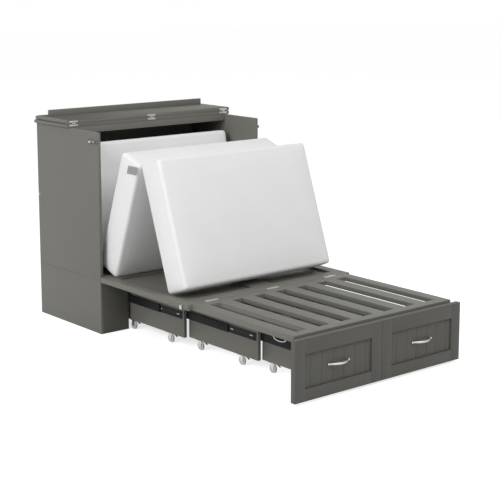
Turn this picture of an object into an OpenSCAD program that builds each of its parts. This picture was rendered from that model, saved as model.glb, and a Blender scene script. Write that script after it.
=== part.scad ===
// Chest bed: a cabinet that opens into a bed on three nested rolling sections.
// Lengths are in millimetres. X runs across, Y from the foot to the back, Z up.
// The model is centred on X and Y and stands on Z = 0.

/* [Cabinet] */

// Width over the side panels
cab_w = 1100; // [960:1:1600]
// Depth from the front plane to the back
cab_d = 618; // [560:1:800]
// Thickness of the side boards, rails and inner walls
board_t = 18; // [12:1:25]
// Height of the base under the side panels
base_h = 294; // [240:1:360]
// Height of the top of the side panels
side_top_h = 1092; // [900:1:1300]
// Width of each base stile, side board included
stile_w = 180; // [120:1:260]
// Thickness of the floor of the cabinet
floor_t = 22; // [16:1:30]
// Thickness of the back panel
back_t = 12; // [6:1:18]
// Thickness of the fixed top board
top_t = 21; // [16:1:30]
// Depth of the fixed top board
rear_top_d = 335; // [250:1:420]
// Overhang of the top boards at each side
top_over = 15; // [5:1:30]
// Height of the rail under the fixed top board
top_rail_h = 35; // [20:1:60]
// Radius of the cap on each side panel
cap_r = 6; // [3:0.5:10]
// How far the cap stands out
cap_out = 1.5; // [0.5:0.1:4]
// Height of the cap above the floor
cap_z = 691; // [500:1:900]
// Distance of the cap from the back edge
cap_inset = 15; // [10:1:60]

/* [Lid] */

// Depth of the folding lid
lid_d = 320; // [250:1:360]
// Thickness of the lid
lid_t = 20.6; // [14:0.1:30]
// Height of the strip on the lid
strip_h = 35; // [20:1:60]
// Thickness of the strip
strip_t = 18; // [10:1:24]
// Distance of the strip from the lid's hinge edge
strip_set = 228; // [150:1:240]
// Clearance between the strip's ends and the side panels
strip_clear = 3; // [1:1:20]

/* [Panels] */

// Thickness of the fold-out panels
panel_t = 29; // [22:1:36]
// Room between the raised front panel and the top of the side panels
panel_drop = 5.5; // [2:0.5:40]
// Length of the slatted panel from the fold
slat_panel_l = 750; // [600:1:765]
// Inset of the slatted panel at each side
slat_inset = 27; // [20:1:50]
// Width of the frame pieces of the front panel
frame_w = 62; // [40:1:90]
// Width of the frame pieces beside the middle line
mid_frame_w = 67; // [40:1:90]
// Width of the end rails of the front panel
end_rail_w = 81; // [50:1:110]
// Thickness of the beadboard infill
infill_t = 10; // [6:0.5:14]
// Depth of the beadboard behind the outer face
infill_set = 7; // [3:0.5:12]
// Width of one bead board
bead_w = 70; // [40:1:120]
// Width of a bead groove
groove_w = 3; // [1:0.5:5]
// Number of slots in the slatted panel
slot_n = 7; // [3:1:9]
// Distance of the outer slots from the panel's sides
slot_side = 61; // [40:1:120]
// Width of a slot
slot_w = 70; // [20:1:80]
// Distance of the slots from the fold
slot_start = 60; // [50:1:120]
// Distance of the slots from the foot end
slot_end = 52; // [40:1:120]
// Thickness of the slats
slat_t = 22; // [10:1:24]
// Width of the lip round the slatted panel
lip_w = 34; // [20:1:50]

/* [Rolling sections] */

// Height of the rails above the floor
rail_z = 51; // [40:1:80]
// Thickness of one ball-bearing slide
slide_t = 13; // [12:0.1:16]
// Height of a slide
slide_h = 45; // [35:1:55]
// Height of the slide centre above the floor
slide_z = 171; // [120:1:220]
// Back end of the first section, behind the front plane
rail_1_back = 110; // [95:1:114]
// Front end of the first section
rail_1_end = 484; // [450:1:484]
// Length of the second section
rail_2_l = 557; // [520:1:557]
// Overlap of the second and third sections
rail_3_lap = 5; // [0:1:5]
// Travel of the first section
travel_1 = 484; // [440:1:484]
// Travel of the second section
travel_2 = 558; // [500:1:558]
// Travel of the third section
travel_3 = 476; // [440:1:476]
// Thickness of a slide member's metal
slide_metal = 1.5; // [1:0.1:2]
// Wheel radius
wheel_r = 23; // [16:0.5:25]
// Wheel width
wheel_w = 12; // [8:0.5:16]
// Axle radius
axle_r = 3; // [2:0.1:5]

/* [Drawer front] */

// Gap between the slatted panel and the drawer front
drawer_gap = 13.5; // [13.5:0.5:30]
// Thickness of the drawer front
drawer_t = 28; // [18:1:32]
// Height of the drawer front's lower edge
drawer_z = 14; // [8:1:30]
// Height of the drawer front's upper edge
drawer_top = 307; // [250:1:307]
// Height of the upper frame piece
drawer_top_rail = 72; // [40:1:90]
// Height of the lower frame piece
drawer_low_rail = 58; // [40:1:90]
// Spacing of a pull's feet
pull_c = 128; // [96:1:192]
// How far a pull stands out
pull_out = 28; // [20:1:40]
// Radius of a pull's bar
pull_r = 5; // [3:0.5:7]
// Height of the pulls above the floor
pull_z = 160; // [120:1:200]

/* [Mattress] */

// Distance of the mattress from the outside of the cabinet at each side
mat_side_clear = 50; // [30:1:120]
// Thickness of each mattress section
mat_t = 172; // [100:1:180]
// Height of the cabinet that the length of a mattress section leaves free
mat_room = 95; // [80:1:160]
// Radius of the edges
mat_r = 15; // [10:1:40]
// Crown of the broad faces
mat_crown = 3.5; // [2:0.5:12]
// How far the sides are drawn in
mat_draw = 5; // [2:0.5:12]
// Lean of the section in the cabinet, in degrees
lean_1_deg = 11.5; // [8:0.1:20]
// Lean of the middle section, in degrees
lean_2_deg = 19.9; // [10:0.1:25]
// Lean of the foot section, in degrees
lean_3_deg = 19.5; // [10:0.1:25]
// Place of the middle section's lowest edge
mat_2_at = 64; // [50:0.5:100]
// Gap between the middle and foot sections where they meet at the top
mat_meet = 6; // [4:0.5:30]
// Place of the back section's lowest edge, behind the front plane
mat_1_at = 254; // [240:0.5:280]
// Length of the strap at the sections' left end
strap_l = 82; // [40:1:120]
// Height of the strap
strap_h = 42; // [20:1:60]
// Thickness of the strap
strap_t = 1.2; // [0.8:0.1:3]
// Distance of the strap's middle from the top of its section
strap_set = 40; // [30:1:120]

/* [Hinges] */

// Radius of a hinge knuckle
knuckle_r = 2.8; // [2.2:0.1:4]
// Radius of a hinge pin
pin_r = 1.3; // [0.8:0.1:2]
// Thickness of a hinge leaf
leaf_t = 1.5; // [1:0.1:2]
// Length of the fold hinges
fold_hinge_l = 82; // [50:1:120]
// Length of the lid and floor hinges
butt_hinge_l = 54; // [30:1:90]
// Width of a fold hinge leaf
fold_leaf_w = 13; // [8:0.5:20]
// Width of a butt hinge leaf
butt_leaf_w = 16; // [8:0.5:19]
// Distance of the outer lid hinges from the outside of the cabinet
lid_hinge_inset = 32; // [30:1:200]
// Distance of the outer panel hinges from the outside of the cabinet
panel_hinge_inset = 150; // [70:1:300]

/* [Bolts] */

// Radius of the bolt rod
bolt_r = 3; // [2:0.1:5]
// Length of the bolt rod
bolt_l = 66; // [50:1:90]
// Distance of the bolts below the top of the side panels
bolt_drop = 50; // [22:1:120]
// Travel of a bolt
bolt_travel = 26; // [15:1:30]
// Radius of the bolt's ball
ball_r = 7; // [5:0.5:10]
// Distance of the ball from the rod's centre
ball_out = 13; // [9:0.5:20]

/* [Grab loop] */

// Length of the loop under the slatted panel
loop_l = 86; // [60:1:140]
// Drop of the loop
loop_drop = 20; // [12:1:40]
// Radius of the loop's wire
loop_r = 2; // [1:0.1:4]
// Distance of the loop from the fold
loop_at = 602; // [400:1:640]

/* [Hidden] */

$fn = 24;

// Overrun of cuts and the clearances used throughout
over = 1;
run_fit = 0.05;
soft_clear = 0.3;
knuckle_clear = 0.4;
flat_clear = 0.1;

// Hinge line of the front panel, and the fold that clears the top when it is shut
floor_z = base_h + floor_t;
pin_off = leaf_t + flat_clear;
deck_pin_rise = 0.6;
deck_pin_t = pin_off;
deck_pin_z = floor_z + deck_pin_rise;
fold_at = side_top_h - deck_pin_z + deck_pin_t - panel_drop;
fold_pin_z = floor_z + pin_off;
fold_gap = 1;
slat_far = fold_at + slat_panel_l;
drawer_at = slat_far + drawer_gap;

// Outer sizes and the place of the front plane
foot_t = drawer_at + drawer_t + pull_out;
y_back = (cab_d + foot_t) / 2;
y_front = y_back - cab_d;
x_out = cab_w / 2;
x_in = x_out - board_t;
x_top = x_out + top_over;
x_bay = x_out - stile_w;

// Distances t run from the front plane towards the foot
function yt(t) = y_front - t;

// Hinges of the lid and places of the hinges across the bed
lid_pin_rise = 0.5;
rear_top_t = cab_d - rear_top_d;
lid_pin_t = -rear_top_t + pin_off;
lid_pin_z = side_top_h + top_t + lid_pin_rise;
lid_low = lid_pin_z + lid_pin_rise;
lid_back_t = rear_top_t + lid_d;
lid_hinge_x = x_out - lid_hinge_inset;
panel_hinge_x = x_out - panel_hinge_inset;

// Panels
panel_low = floor_z - panel_t;
front_start = deck_pin_t + pin_off;
front_end = fold_at - fold_gap;
slat_start = fold_at + fold_gap;
x_slat = x_out - slat_inset;
slot_pitch = (2 * (x_slat - slot_side) - slot_w) / (slot_n - 1);

// Rolling sections, each nested inside the one before
rail_gap = 0.5;
rail_top = panel_low - rail_gap;
x_rail_1 = x_bay - slide_t;
x_rail_2 = x_rail_1 - board_t - slide_t;
x_rail_3 = x_rail_2 - board_t - slide_t;
rail_2_gap = 1;
rail_2_start = rail_1_end + rail_2_gap;
rail_2_end = rail_2_start + rail_2_l;
rail_3_start = rail_2_end - rail_3_lap;
rail_3_end = drawer_at;
slide_end_set = 12;
slide_clear = 0.4;

// Slide members across their thickness, from the outer wall inwards
channel_mouth = 4;
channel_deep = slide_t - channel_mouth;
middle_at = 3;
middle_deep = 8;
inner_deep = 7;
middle_h = slide_h - 2 * slide_metal - 2 * slide_clear;
inner_h = middle_h - 2 * slide_metal - 2 * slide_clear;
channel_back_set = 10;
channel_1_back = cab_d - board_t - channel_back_set;
channel_front_set = 20;
middle_1_l = 440;
middle_2_l = 500;
middle_3_l = 440;
middle_1_travel = 300;
middle_2_travel = 346;
middle_3_travel = 301;
inner_1_l = 480;
inner_2_l = 480;
inner_3_l = 430;

// Casters, as distances from the front plane
caster_1 = [20, 359];
caster_2 = [575, 912];
caster_3 = [1110, 1420];
fork_t = 2;
fork_clear = 1;
plate_t = 2;
plate_l = 64;
fork_w = 22;
tab_l = 46;
tab_drop = 22;
tab_w = 10;
tab_t = 4;
hub_share = 0.45;
hub_dish = 1.5;

// Screws on the slides
screw_r = 3.5;
screw_h = 1.2;
screw_pair = 12;
screw_sets = [32, 183];

// Beadboard fields, one each side of the middle line
field_in = mid_frame_w;
field_out = x_out - frame_w;
bead_mid = (field_in + field_out) / 2;
bead_half_n = floor((field_out - field_in) / bead_w / 2);

// Bolts on the side panels
bolt_z = side_top_h - bolt_drop;
plate_face = x_out;
guide_out = 12;
guide_w = 14;
guide_plate_t = 2;
guide_plate_h = 22;
guide_plate_l = 76;
guide_front_set = 3;
guide_len = 12;
rod_gap = 1;
rod_x = plate_face + guide_plate_t + bolt_r + rod_gap;
rod_front_set = 2;
ball_set = 50;
stem_r = 2.2;
keeper_t = deck_pin_t + bolt_z - deck_pin_z;
keeper_w = 16;
keeper_set = 2;
keeper_low = panel_low + keeper_set;
keeper_h = 20;
keeper_clear = 1;

// Mattress sections stand like a tent: the foot section leans back on the middle one
mat_w = 2 * (x_out - mat_side_clear);
mat_l = side_top_h - floor_z - mat_room;
mat_3_at = mat_2_at + mat_l * (sin(lean_2_deg) + sin(lean_3_deg)) + mat_meet;

// The strap lies on the drawn-in end of its section
strap_end_share = 1 - 2 * (strap_set - strap_h / 2) / mat_l;
strap_x = mat_w / 2 - mat_draw * (1 - pow(strap_end_share, 2)) + soft_clear;

// A box from ranges across, forward of the front plane and up
module slab(xs, ts, zs) {
  translate([xs[0], yt(ts[1]), zs[0]])
    cube([xs[1] - xs[0], ts[1] - ts[0], zs[1] - zs[0]]);
}

module pair() {
  children();
  mirror([1, 0, 0]) children();
}

// A rod along X
module xrod(x0, x1, t, z, r) {
  translate([x0, yt(t), z]) rotate([0, 90, 0]) cylinder(r = r, h = x1 - x0);
}

// A rod along Y
module trod(x, t0, t1, z, r) {
  translate([x, yt(t0), z]) rotate([90, 0, 0]) cylinder(r = r, h = t1 - t0);
}

// One hinge leaf, with its knuckles on the X axis and its plate towards +Y
module hinge_leaf(l, w, mid) {
  seg = l / 3;
  starts = mid ? [-seg / 2 + knuckle_clear] : [-l / 2, seg / 2];
  run = mid ? seg - 2 * knuckle_clear : seg;
  reach = knuckle_r + knuckle_clear;
  difference() {
    union() {
      for (x = starts) {
        translate([x, 0, 0]) rotate([0, 90, 0]) cylinder(r = knuckle_r, h = run);
        translate([x, 0, -pin_off]) cube([run, reach + knuckle_clear, leaf_t]);
      }
      translate([-l / 2, reach, -pin_off]) cube([l, w - reach, leaf_t]);
    }
    if (mid) {
      translate([-l / 2, 0, 0]) rotate([0, 90, 0]) cylinder(r = pin_r + run_fit, h = l);
    }
  }
  if (!mid) {
    translate([-l / 2, 0, 0]) rotate([0, 90, 0]) cylinder(r = pin_r, h = l);
  }
}

module at_lid_hinges() {
  for (x = [-lid_hinge_x, 0, lid_hinge_x])
    translate([x, yt(lid_pin_t), lid_pin_z]) children();
}

module at_deck_hinges() {
  for (x = [-panel_hinge_x, 0, panel_hinge_x])
    translate([x, yt(deck_pin_t), deck_pin_z]) children();
}

module at_fold_hinges() {
  for (x = [-panel_hinge_x, 0, panel_hinge_x])
    translate([x, yt(fold_at), fold_pin_z]) children();
}

// Room for the knuckles of a hinge in the boards beside it
module knuckle_room(l) {
  rotate([0, 90, 0])
    cylinder(r = knuckle_r + knuckle_clear, h = l + 2 * knuckle_clear, center = true);
}

module base_side() {
  slab([x_in, x_out], [-cab_d, 0], [0, base_h]);
}

module base_left() {
  color("dimgray") mirror([1, 0, 0]) base_side();
}

module base_right() {
  color("dimgray") base_side();
}

module base_stiles() {
  color("dimgray") pair() slab([x_bay, x_in], [-board_t, 0], [0, base_h]);
}

module base_inner_walls() {
  color("gray") pair()
    slab([x_bay, x_bay + board_t], [board_t - cab_d, -board_t], [0, base_h]);
}

module base_back() {
  color("gray") slab([-x_in, x_in], [-cab_d, board_t - cab_d], [0, base_h]);
}

module cabinet_floor() {
  color("gray") difference() {
    slab([-x_in, x_in], [back_t - cab_d, 0], [base_h, floor_z]);
    at_deck_hinges() knuckle_room(butt_hinge_l);
  }
}

module side_panel() {
  slab([x_in, x_out], [-cab_d, 0], [base_h, side_top_h]);
}

module side_left() {
  color("dimgray") mirror([1, 0, 0]) side_panel();
}

module side_right() {
  color("dimgray") side_panel();
}

module back_panel() {
  color("gray") slab([-x_in, x_in], [-cab_d, back_t - cab_d], [base_h, side_top_h]);
}

// A top board with rounded ends, from its back to its front distance
module top_board(t0, t1, z, th) {
  translate([0, yt(t0), z + th / 2]) rotate([90, 0, 0]) linear_extrude(height = t1 - t0)
    union() {
      square([2 * x_top - th, th], center = true);
      pair() translate([x_top - th / 2, 0]) circle(r = th / 2);
    }
}

module rear_top() {
  color("gray") difference() {
    top_board(-cab_d, -rear_top_t, side_top_h, top_t);
    at_lid_hinges() knuckle_room(butt_hinge_l);
  }
}

module top_rail() {
  color("gray") slab([-x_in, x_in], [-rear_top_t - board_t, -rear_top_t],
    [side_top_h - top_rail_h, side_top_h]);
}

module cabinet_hinge_leaves() {
  color("silver") {
    at_lid_hinges() rotate([-90, 0, 0]) mirror([0, 0, 1])
      hinge_leaf(butt_hinge_l, butt_leaf_w, false);
    at_deck_hinges() rotate([-90, 0, 0]) mirror([0, 0, 1])
      hinge_leaf(butt_hinge_l, butt_leaf_w, false);
  }
}

// A slide member open towards the middle of the bed, on the right side
module channel(x, deep, h, t0, t1) {
  slab([x - slide_metal, x], [t0, t1], [slide_z - h / 2, slide_z + h / 2]);
  for (z = [slide_z - h / 2, slide_z + h / 2 - slide_metal])
    slab([x - deep, x], [t0, t1], [z, z + slide_metal]);
}

// A slide member open away from the middle of the bed, on the right side
module back_channel(x, deep, h, t0, t1) {
  slab([x, x + slide_metal], [t0, t1], [slide_z - h / 2, slide_z + h / 2]);
  for (z = [slide_z - h / 2, slide_z + h / 2 - slide_metal])
    slab([x, x + deep], [t0, t1], [z, z + slide_metal]);
}

module base_slide_channels() {
  color("black") pair()
    channel(x_bay, channel_deep, slide_h, -channel_1_back, -channel_front_set);
}

module bolt_guide() {
  difference() {
    union() {
      slab([plate_face, plate_face + guide_plate_t],
        [-guide_front_set - guide_plate_l, -guide_front_set],
        [bolt_z - guide_plate_h / 2, bolt_z + guide_plate_h / 2]);
      for (t = [-guide_front_set, -guide_front_set - guide_plate_l + guide_len])
        slab([plate_face, plate_face + guide_out], [t - guide_len, t],
          [bolt_z - guide_w / 2, bolt_z + guide_w / 2]);
    }
    trod(rod_x, -guide_front_set - guide_plate_l - over, over, bolt_z, bolt_r + run_fit);
  }
}

module bolt_guides() {
  color("silver") pair() bolt_guide();
}

module side_caps() {
  color("silver") pair()
    xrod(x_out, x_out + cap_out, cap_inset - cab_d, cap_z, cap_r);
}

module lid_board() {
  color("dimgray") difference() {
    top_board(-lid_back_t, -rear_top_t, lid_low, lid_t);
    at_lid_hinges() knuckle_room(butt_hinge_l);
  }
}

module lid_strip() {
  color("dimgray") slab([-x_in + strip_clear, x_in - strip_clear],
    [-rear_top_t - strip_set - strip_t, -rear_top_t - strip_set],
    [lid_low + lid_t, lid_low + lid_t + strip_h]);
}

module lid_hinge_leaves() {
  color("silver") at_lid_hinges() rotate([90, 0, 0])
    hinge_leaf(butt_hinge_l, butt_leaf_w, true);
}

module front_panel_frame() {
  color("dimgray") difference() {
    slab([-x_out, x_out], [front_start, front_end], [panel_low, floor_z]);
    pair() slab([field_in, field_out],
      [front_start + end_rail_w, front_end - end_rail_w],
      [panel_low - over, floor_z + over]);
    at_deck_hinges() knuckle_room(butt_hinge_l);
    at_fold_hinges() knuckle_room(fold_hinge_l);
  }
}

// Grooves across a field, one line for each joint of the bead boards
module bead_grooves(t0, t1, z) {
  for (i = [-bead_half_n : bead_half_n - 1])
    translate([bead_mid + (i + 1 / 2) * bead_w, yt(t1), z]) rotate([0, 45, 0])
      translate([-groove_w / 2, -over, -groove_w / 2])
        cube([groove_w, t1 - t0 + 2 * over, groove_w]);
}

module front_panel_infill() {
  t0 = front_start + end_rail_w;
  t1 = front_end - end_rail_w;
  z = panel_low + infill_set;
  color("gray") pair() difference() {
    slab([field_in, field_out], [t0, t1], [z, z + infill_t]);
    bead_grooves(t0, t1, z);
  }
}

module front_panel_hinge_leaves() {
  color("silver") {
    at_deck_hinges() rotate([-90, 0, 0]) hinge_leaf(butt_hinge_l, butt_leaf_w, true);
    at_fold_hinges() hinge_leaf(fold_hinge_l, fold_leaf_w, false);
  }
}

module bolt_keepers() {
  color("silver") pair() difference() {
    slab([x_out, x_out + guide_out],
      [keeper_t - keeper_w / 2, keeper_t + keeper_w / 2],
      [keeper_low, keeper_low + keeper_h]);
    translate([rod_x, yt(keeper_t), keeper_low - over])
      cylinder(r = bolt_r + keeper_clear, h = keeper_h + 2 * over);
  }
}

module slat_panel_board() {
  t0 = slat_start + slot_start;
  t1 = slat_far - slot_end;
  color("dimgray") difference() {
    slab([-x_slat, x_slat], [slat_start, slat_far], [panel_low, floor_z]);
    slab([-x_slat + lip_w, x_slat - lip_w], [slat_start + lip_w, slat_far - lip_w],
      [panel_low - over, floor_z - slat_t]);
    for (i = [0 : slot_n - 1])
      translate([(i - (slot_n - 1) / 2) * slot_pitch, 0, 0])
        slab([-slot_w / 2, slot_w / 2], [t0, t1], [panel_low, floor_z + over]);
    at_fold_hinges() knuckle_room(fold_hinge_l);
  }
}

module slat_panel_hinge_leaves() {
  color("silver") at_fold_hinges() rotate([0, 0, 180])
    hinge_leaf(fold_hinge_l, fold_leaf_w, true);
}

// A tube along a flat path: pts are [along, out] pairs, swept round by r
module tube(pts, r, sides) {
  n = len(pts);
  dirs = [for (i = [0 : n - 1])
    let (a = pts[max(i - 1, 0)], b = pts[min(i + 1, n - 1)], d = b - a)
    d / norm(d)];
  rings = [for (i = [0 : n - 1]) for (k = [0 : sides - 1])
    let (ang = 360 * k / sides, nrm = [-dirs[i][1], dirs[i][0]])
    [pts[i][0] + r * cos(ang) * nrm[0], pts[i][1] + r * cos(ang) * nrm[1],
     r * sin(ang)]];
  walls = [for (i = [0 : n - 2]) for (k = [0 : sides - 1])
    let (k2 = (k + 1) % sides, p = i * sides, q = p + sides)
    each [[p + k, p + k2, q + k2], [p + k, q + k2, q + k]]];
  starts = [for (k = [1 : sides - 2]) [0, k + 1, k]];
  last = (n - 1) * sides;
  ends = [for (k = [1 : sides - 2]) [last, last + k, last + k + 1]];
  polyhedron(points = rings, faces = concat(walls, starts, ends));
}

// The loop's path: down from the panel, round and up again
loop_steps = 16;
loop_pts = concat([[-loop_l / 2, 0]],
  [for (i = [0 : loop_steps]) let (a = 180 * i / loop_steps)
    [-cos(a) * loop_l / 2, loop_r + sin(a) * (loop_drop - 2 * loop_r)]],
  [[loop_l / 2, 0]]);

module grab_loop() {
  color("silver")
    translate([-x_slat + lip_w / 4, yt(fold_at + loop_at + loop_l / 2), panel_low])
    rotate([-90, 0, 90]) tube(loop_pts, loop_r, 12);
}

// A section frame: two rails and the cross rail that joins them at the back
module section_frame(x, t0, t1) {
  pair() slab([x - board_t, x], [t0, t1], [rail_z, rail_top]);
  slab([-x, x], [t0, t0 + board_t], [rail_z, rail_top]);
}

module section_1_frame() {
  color("gray") section_frame(x_rail_1, -rail_1_back, rail_1_end);
}

module section_2_frame() {
  color("gray") section_frame(x_rail_2, rail_2_start, rail_2_end);
}

module section_3_frame() {
  color("gray") section_frame(x_rail_3, rail_3_start, rail_3_end);
}

// Inner slide members of a section, and the channels for the next one
module section_slides(x, t1, inner_l, next_t0, next_t1, has_next) {
  pair() {
    back_channel(x, inner_deep, inner_h, t1 - slide_end_set - inner_l, t1 - slide_end_set);
    if (has_next) channel(x - board_t, channel_deep, slide_h, next_t0, next_t1);
  }
}

module section_1_slides() {
  color("black") section_slides(x_rail_1, rail_1_end, inner_1_l,
    -rail_1_back + 2 * board_t, rail_1_end - slide_end_set, true);
}

module section_2_slides() {
  color("black") section_slides(x_rail_2, rail_2_end, inner_2_l,
    rail_2_start + 2 * board_t, rail_2_end - slide_end_set, true);
}

module section_3_slides() {
  color("black") section_slides(x_rail_3, rail_3_end, inner_3_l, 0, 0, false);
}

// A middle slide member between an outer wall at x and the next section
module slides_middle(x, t1, l) {
  color("black") pair()
    channel(x - middle_at, middle_deep, middle_h, t1 - l, t1);
}

module slides_middle_1() {
  slides_middle(x_bay, middle_1_travel - channel_front_set, middle_1_l);
}

module slides_middle_2() {
  slides_middle(x_rail_1 - board_t, rail_1_end - slide_end_set + middle_2_travel,
    middle_2_l);
}

module slides_middle_3() {
  slides_middle(x_rail_2 - board_t, rail_2_end - slide_end_set + middle_3_travel,
    middle_3_l);
}

// One caster's plate, fork, axle and foot tab under a rail's middle
module caster(x, t) {
  fork_in = wheel_w / 2 + fork_clear;
  fork_low = wheel_r - axle_r - fork_t;
  slab([x - fork_in - fork_t, x + fork_in + fork_t],
    [t - plate_l / 2, t + plate_l / 2], [rail_z - plate_t, rail_z]);
  for (s = [-1, 1])
    slab([x + s * (fork_in + fork_t / 2) - fork_t / 2,
          x + s * (fork_in + fork_t / 2) + fork_t / 2],
      [t - fork_w / 2, t + fork_w / 2], [fork_low, rail_z]);
  xrod(x - fork_in - fork_t, x + fork_in + fork_t, t, wheel_r, axle_r);
  translate([x - tab_w / 2, yt(t + plate_l / 2 - plate_t), rail_z - plate_t])
    rotate([atan2(tab_drop, tab_l), 0, 0])
    mirror([0, 1, 0]) cube([tab_w, norm([tab_l, tab_drop]) / 2, tab_t / 2]);
}

module screws(x, t1) {
  for (s = screw_sets) for (d = [0, screw_pair])
    xrod(x + slide_metal, x + slide_metal + screw_h, t1 - slide_end_set - s - d,
      slide_z, screw_r);
}

module section_fittings(x, t1, casters) {
  color("silver") pair() {
    for (t = casters) caster(x - board_t / 2, t);
    screws(x, t1);
  }
}

module section_1_fittings() {
  section_fittings(x_rail_1, rail_1_end, caster_1);
}

module section_2_fittings() {
  section_fittings(x_rail_2, rail_2_end, caster_2);
}

module section_3_fittings() {
  section_fittings(x_rail_3, rail_3_end, caster_3);
}

module wheel(side, x, t) {
  color("lightgray") translate([side * (x - board_t / 2), yt(t), wheel_r])
    rotate([0, 90, 0]) difference() {
      cylinder(r = wheel_r, h = wheel_w, center = true, $fn = 48);
      for (s = [-1, 1]) translate([0, 0, s * wheel_w / 2])
        cylinder(r = wheel_r * hub_share * 3 / 2, h = 2 * hub_dish, center = true);
      cylinder(r = axle_r + run_fit, h = wheel_w + 2 * over, center = true);
    }
}

module wheel_1_left_back() { wheel(-1, x_rail_1, caster_1[0]); }
module wheel_1_right_back() { wheel(1, x_rail_1, caster_1[0]); }
module wheel_1_left_front() { wheel(-1, x_rail_1, caster_1[1]); }
module wheel_1_right_front() { wheel(1, x_rail_1, caster_1[1]); }
module wheel_2_left_back() { wheel(-1, x_rail_2, caster_2[0]); }
module wheel_2_right_back() { wheel(1, x_rail_2, caster_2[0]); }
module wheel_2_left_front() { wheel(-1, x_rail_2, caster_2[1]); }
module wheel_2_right_front() { wheel(1, x_rail_2, caster_2[1]); }
module wheel_3_left_back() { wheel(-1, x_rail_3, caster_3[0]); }
module wheel_3_right_back() { wheel(1, x_rail_3, caster_3[0]); }
module wheel_3_left_front() { wheel(-1, x_rail_3, caster_3[1]); }
module wheel_3_right_front() { wheel(1, x_rail_3, caster_3[1]); }

module drawer_front_frame() {
  color("dimgray") difference() {
    slab([-x_out, x_out], [drawer_at, drawer_at + drawer_t], [drawer_z, drawer_top]);
    pair() slab([field_in, field_out],
      [drawer_at - over, drawer_at + drawer_t + over],
      [drawer_z + drawer_low_rail, drawer_top - drawer_top_rail]);
    translate([0, yt(drawer_at + drawer_t), drawer_z - over]) rotate([0, 0, 45])
      translate([-groove_w / 2, -groove_w / 2, 0])
        cube([groove_w, groove_w, drawer_top - drawer_z + 2 * over]);
  }
}

module drawer_front_infill() {
  face = drawer_at + drawer_t - infill_set;
  z0 = drawer_z + drawer_low_rail;
  z1 = drawer_top - drawer_top_rail;
  color("gray") pair() difference() {
    slab([field_in, field_out], [face - infill_t, face], [z0, z1]);
    for (i = [-bead_half_n : bead_half_n - 1])
      translate([bead_mid + (i + 1 / 2) * bead_w, yt(face), z0 - over])
        rotate([0, 0, 45]) translate([-groove_w / 2, -groove_w / 2, 0])
          cube([groove_w, groove_w, z1 - z0 + 2 * over]);
  }
}

// A pull's path: out from one foot, along the bow and back to the other
pull_steps = 12;
pull_foot = pull_out - pull_r + infill_set;
pull_rise_share = 0.2;
pull_pts = concat([[-pull_c / 2, 0]],
  [for (i = [0 : pull_steps]) let (s = i / pull_steps * 2 - 1, c = 1 - pow(abs(s), 4))
    [s * pull_c / 2, pull_foot * (pull_rise_share + (1 - pull_rise_share) * c)]],
  [[pull_c / 2, 0]]);

module drawer_pulls() {
  face = drawer_at + drawer_t - infill_set;
  color("silver") pair() translate([bead_mid, yt(face), pull_z])
    mirror([0, 1, 0]) tube(pull_pts, pull_r, 12);
}

// A sliding bolt at rest, with its ball and stem
module bolt() {
  trod(rod_x, -guide_front_set - bolt_l - rod_front_set, -guide_front_set + rod_front_set,
    bolt_z, bolt_r);
  xrod(rod_x, rod_x + ball_out, -ball_set, bolt_z, stem_r);
  translate([rod_x + ball_out, yt(-ball_set), bolt_z]) sphere(r = ball_r);
}

module bolt_left() {
  color("silver") mirror([1, 0, 0]) bolt();
}

module bolt_right() {
  color("silver") bolt();
}

// Points of a mattress section lying flat: length along the first axis,
// width along the second, thickness along the third
mat_round = 5;
mat_side_n = 9;
mat_edge_n = 3;
mat_rings = 22;
mat_end_n = 5;
mat_a = mat_l / 2;
mat_b = mat_t / 2;

function corner(a0, cx, cz) = [for (i = [0 : mat_round])
  let (a = a0 + 90 * i / mat_round)
  [cx + mat_r * cos(a), cz + mat_r * sin(a)]];

// Evenly spaced points between two corners, without their ends
function between(p, q, n) = [for (i = [1 : n]) p + (q - p) * i / (n + 1)];

mat_outline = concat(
  corner(0, mat_a - mat_r, mat_b - mat_r),
  between([mat_a - mat_r, mat_b], [mat_r - mat_a, mat_b], mat_side_n),
  corner(90, mat_r - mat_a, mat_b - mat_r),
  between([-mat_a, mat_b - mat_r], [-mat_a, mat_r - mat_b], mat_edge_n),
  corner(180, mat_r - mat_a, mat_r - mat_b),
  between([mat_r - mat_a, -mat_b], [mat_a - mat_r, -mat_b], mat_side_n),
  corner(270, mat_a - mat_r, mat_r - mat_b),
  between([mat_a, mat_r - mat_b], [mat_a, mat_b - mat_r], mat_edge_n));
mat_n = len(mat_outline);

// Rings across the width: the first and last few round the ends over
function end_turn(i) = let (j = min(i, mat_rings - i))
  j < mat_end_n ? 90 * (j + 1 / 2) / mat_end_n : 90;

function ring_y(i) = let (s = i < mat_rings / 2 ? -1 : 1,
    flat_n = mat_rings - 2 * mat_end_n)
  min(i, mat_rings - i) < mat_end_n
    ? s * (mat_w / 2 - mat_r * (1 - cos(end_turn(i))))
    : (mat_w / 2 - mat_r) * (2 * (i - mat_end_n) / flat_n - 1);

// A point drawn in, which leaves the faces crowned and the end that is stood on straight
function drawn(p, y, inset) = let (
    u = p[0] / mat_a, v = p[1] / mat_b, w = 2 * y / mat_w,
    x0 = p[0] - sign(p[0]) * inset * abs(u), z0 = p[1] - sign(p[1]) * inset * abs(v),
    x1 = x0 - mat_draw * max(u, 0) * (1 - w * w),
    z1 = z0 - mat_crown * v * (1 - (1 - pow(u, 4)) * (1 - pow(w, 4))),
    y1 = y - mat_draw * w * (1 - u * u))
  [x1, y1, z1];

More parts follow.
